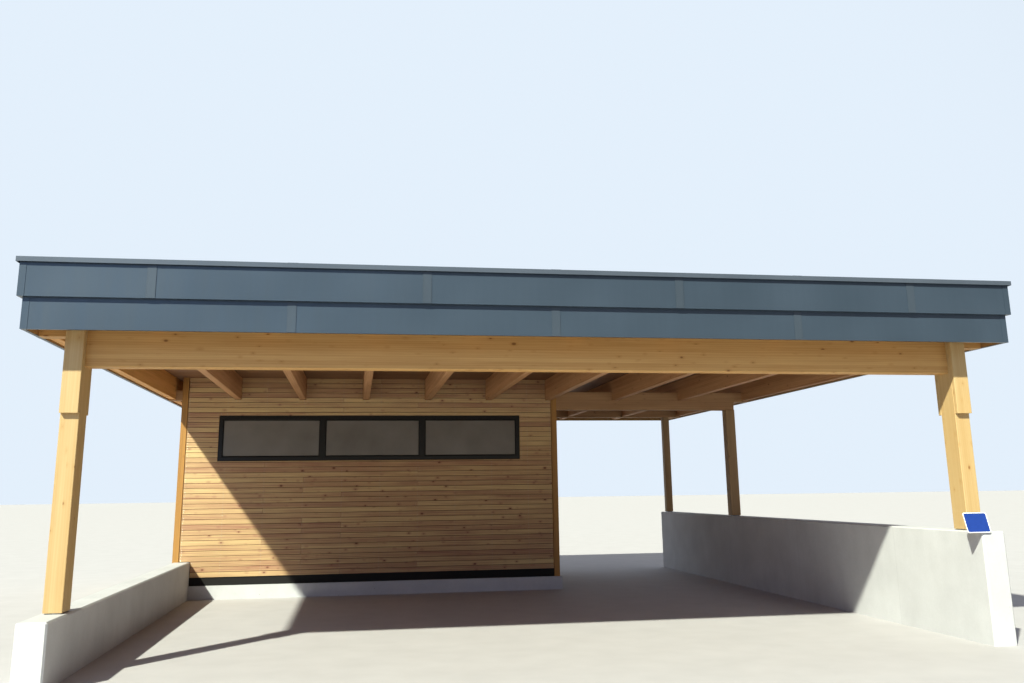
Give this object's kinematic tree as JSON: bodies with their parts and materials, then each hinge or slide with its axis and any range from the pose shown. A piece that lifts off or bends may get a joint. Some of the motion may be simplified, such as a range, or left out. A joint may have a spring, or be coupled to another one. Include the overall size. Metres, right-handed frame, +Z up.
{
  "type": "carport with store room",
  "caption": "Flat-roofed double carport with a timber frame on concrete upstand walls, dark sheet-metal fascia and a slatted store room with a window band at the back.",
  "frame": {"origin": "middle of the footprint at the lowest concrete level", "axes": "+X to the right seen from the drive-in side, +Y from the drive-in side to the back, +Z up"},
  "size_m": [9.81, 11.27, 3.645],
  "materials": {
    "concrete": "smooth cast concrete, faintly stained",
    "post_timber": "planed spruce, clear glazed",
    "beam_timber": "planed glued-laminated spruce",
    "deck_timber": "planed spruce boards",
    "larch_boards": "planed larch slats, untreated",
    "wall_panel": "framed wall panel, board lined",
    "coated_sheet": "satin anthracite coil coating",
    "roof_membrane": "matt roofing membrane",
    "galvanised": "galvanised steel",
    "plinth_strip": "matt black moisture barrier strip",
    "window_bars": "dark grey satin profile",
    "frosted_glass": "acid-etched insulating glass",
    "enamel": "gloss enamel with a white rim"
  },
  "bodies": {
    "root": {"attic_front": "deck_timber", "attic_left": "deck_timber", "attic_rear": "deck_timber", "attic_right": "deck_timber", "band_lower": "coated_sheet", "band_upper": "coated_sheet", "beam_front": "beam_timber", "beam_middle": "beam_timber", "beam_rear": "beam_timber", "cladding_back": "larch_boards", "cladding_front": "larch_boards", "cladding_left": "larch_boards", "cladding_right": "larch_boards", "coping": "coated_sheet", "deck": "deck_timber", "house_plate": "enamel", "membrane": "roof_membrane", "membrane_upturn": "roof_membrane", "panes": "frosted_glass", "plinth": "plinth_strip", "post_cheeks": "post_timber", "post_front_left": "post_timber", "post_front_right": "post_timber", "post_middle": "post_timber", "post_rear": "post_timber", "post_shoes": "galvanised", "rafter_01": "beam_timber", "rafter_02": "beam_timber", "rafter_03": "beam_timber", "rafter_04": "beam_timber", "rafter_05": "beam_timber", "rafter_06": "beam_timber", "rafter_07": "beam_timber", "rafter_08": "beam_timber", "rafter_09": "beam_timber", "rafter_10": "beam_timber", "store_corner_posts": "post_timber", "store_floor": "concrete", "store_wall_back": "wall_panel", "store_wall_front": "wall_panel", "store_wall_left": "wall_panel", "store_wall_right": "wall_panel", "wall_left": "concrete", "wall_right": "concrete", "window_frame": "window_bars"}
  },
  "joints": []
}
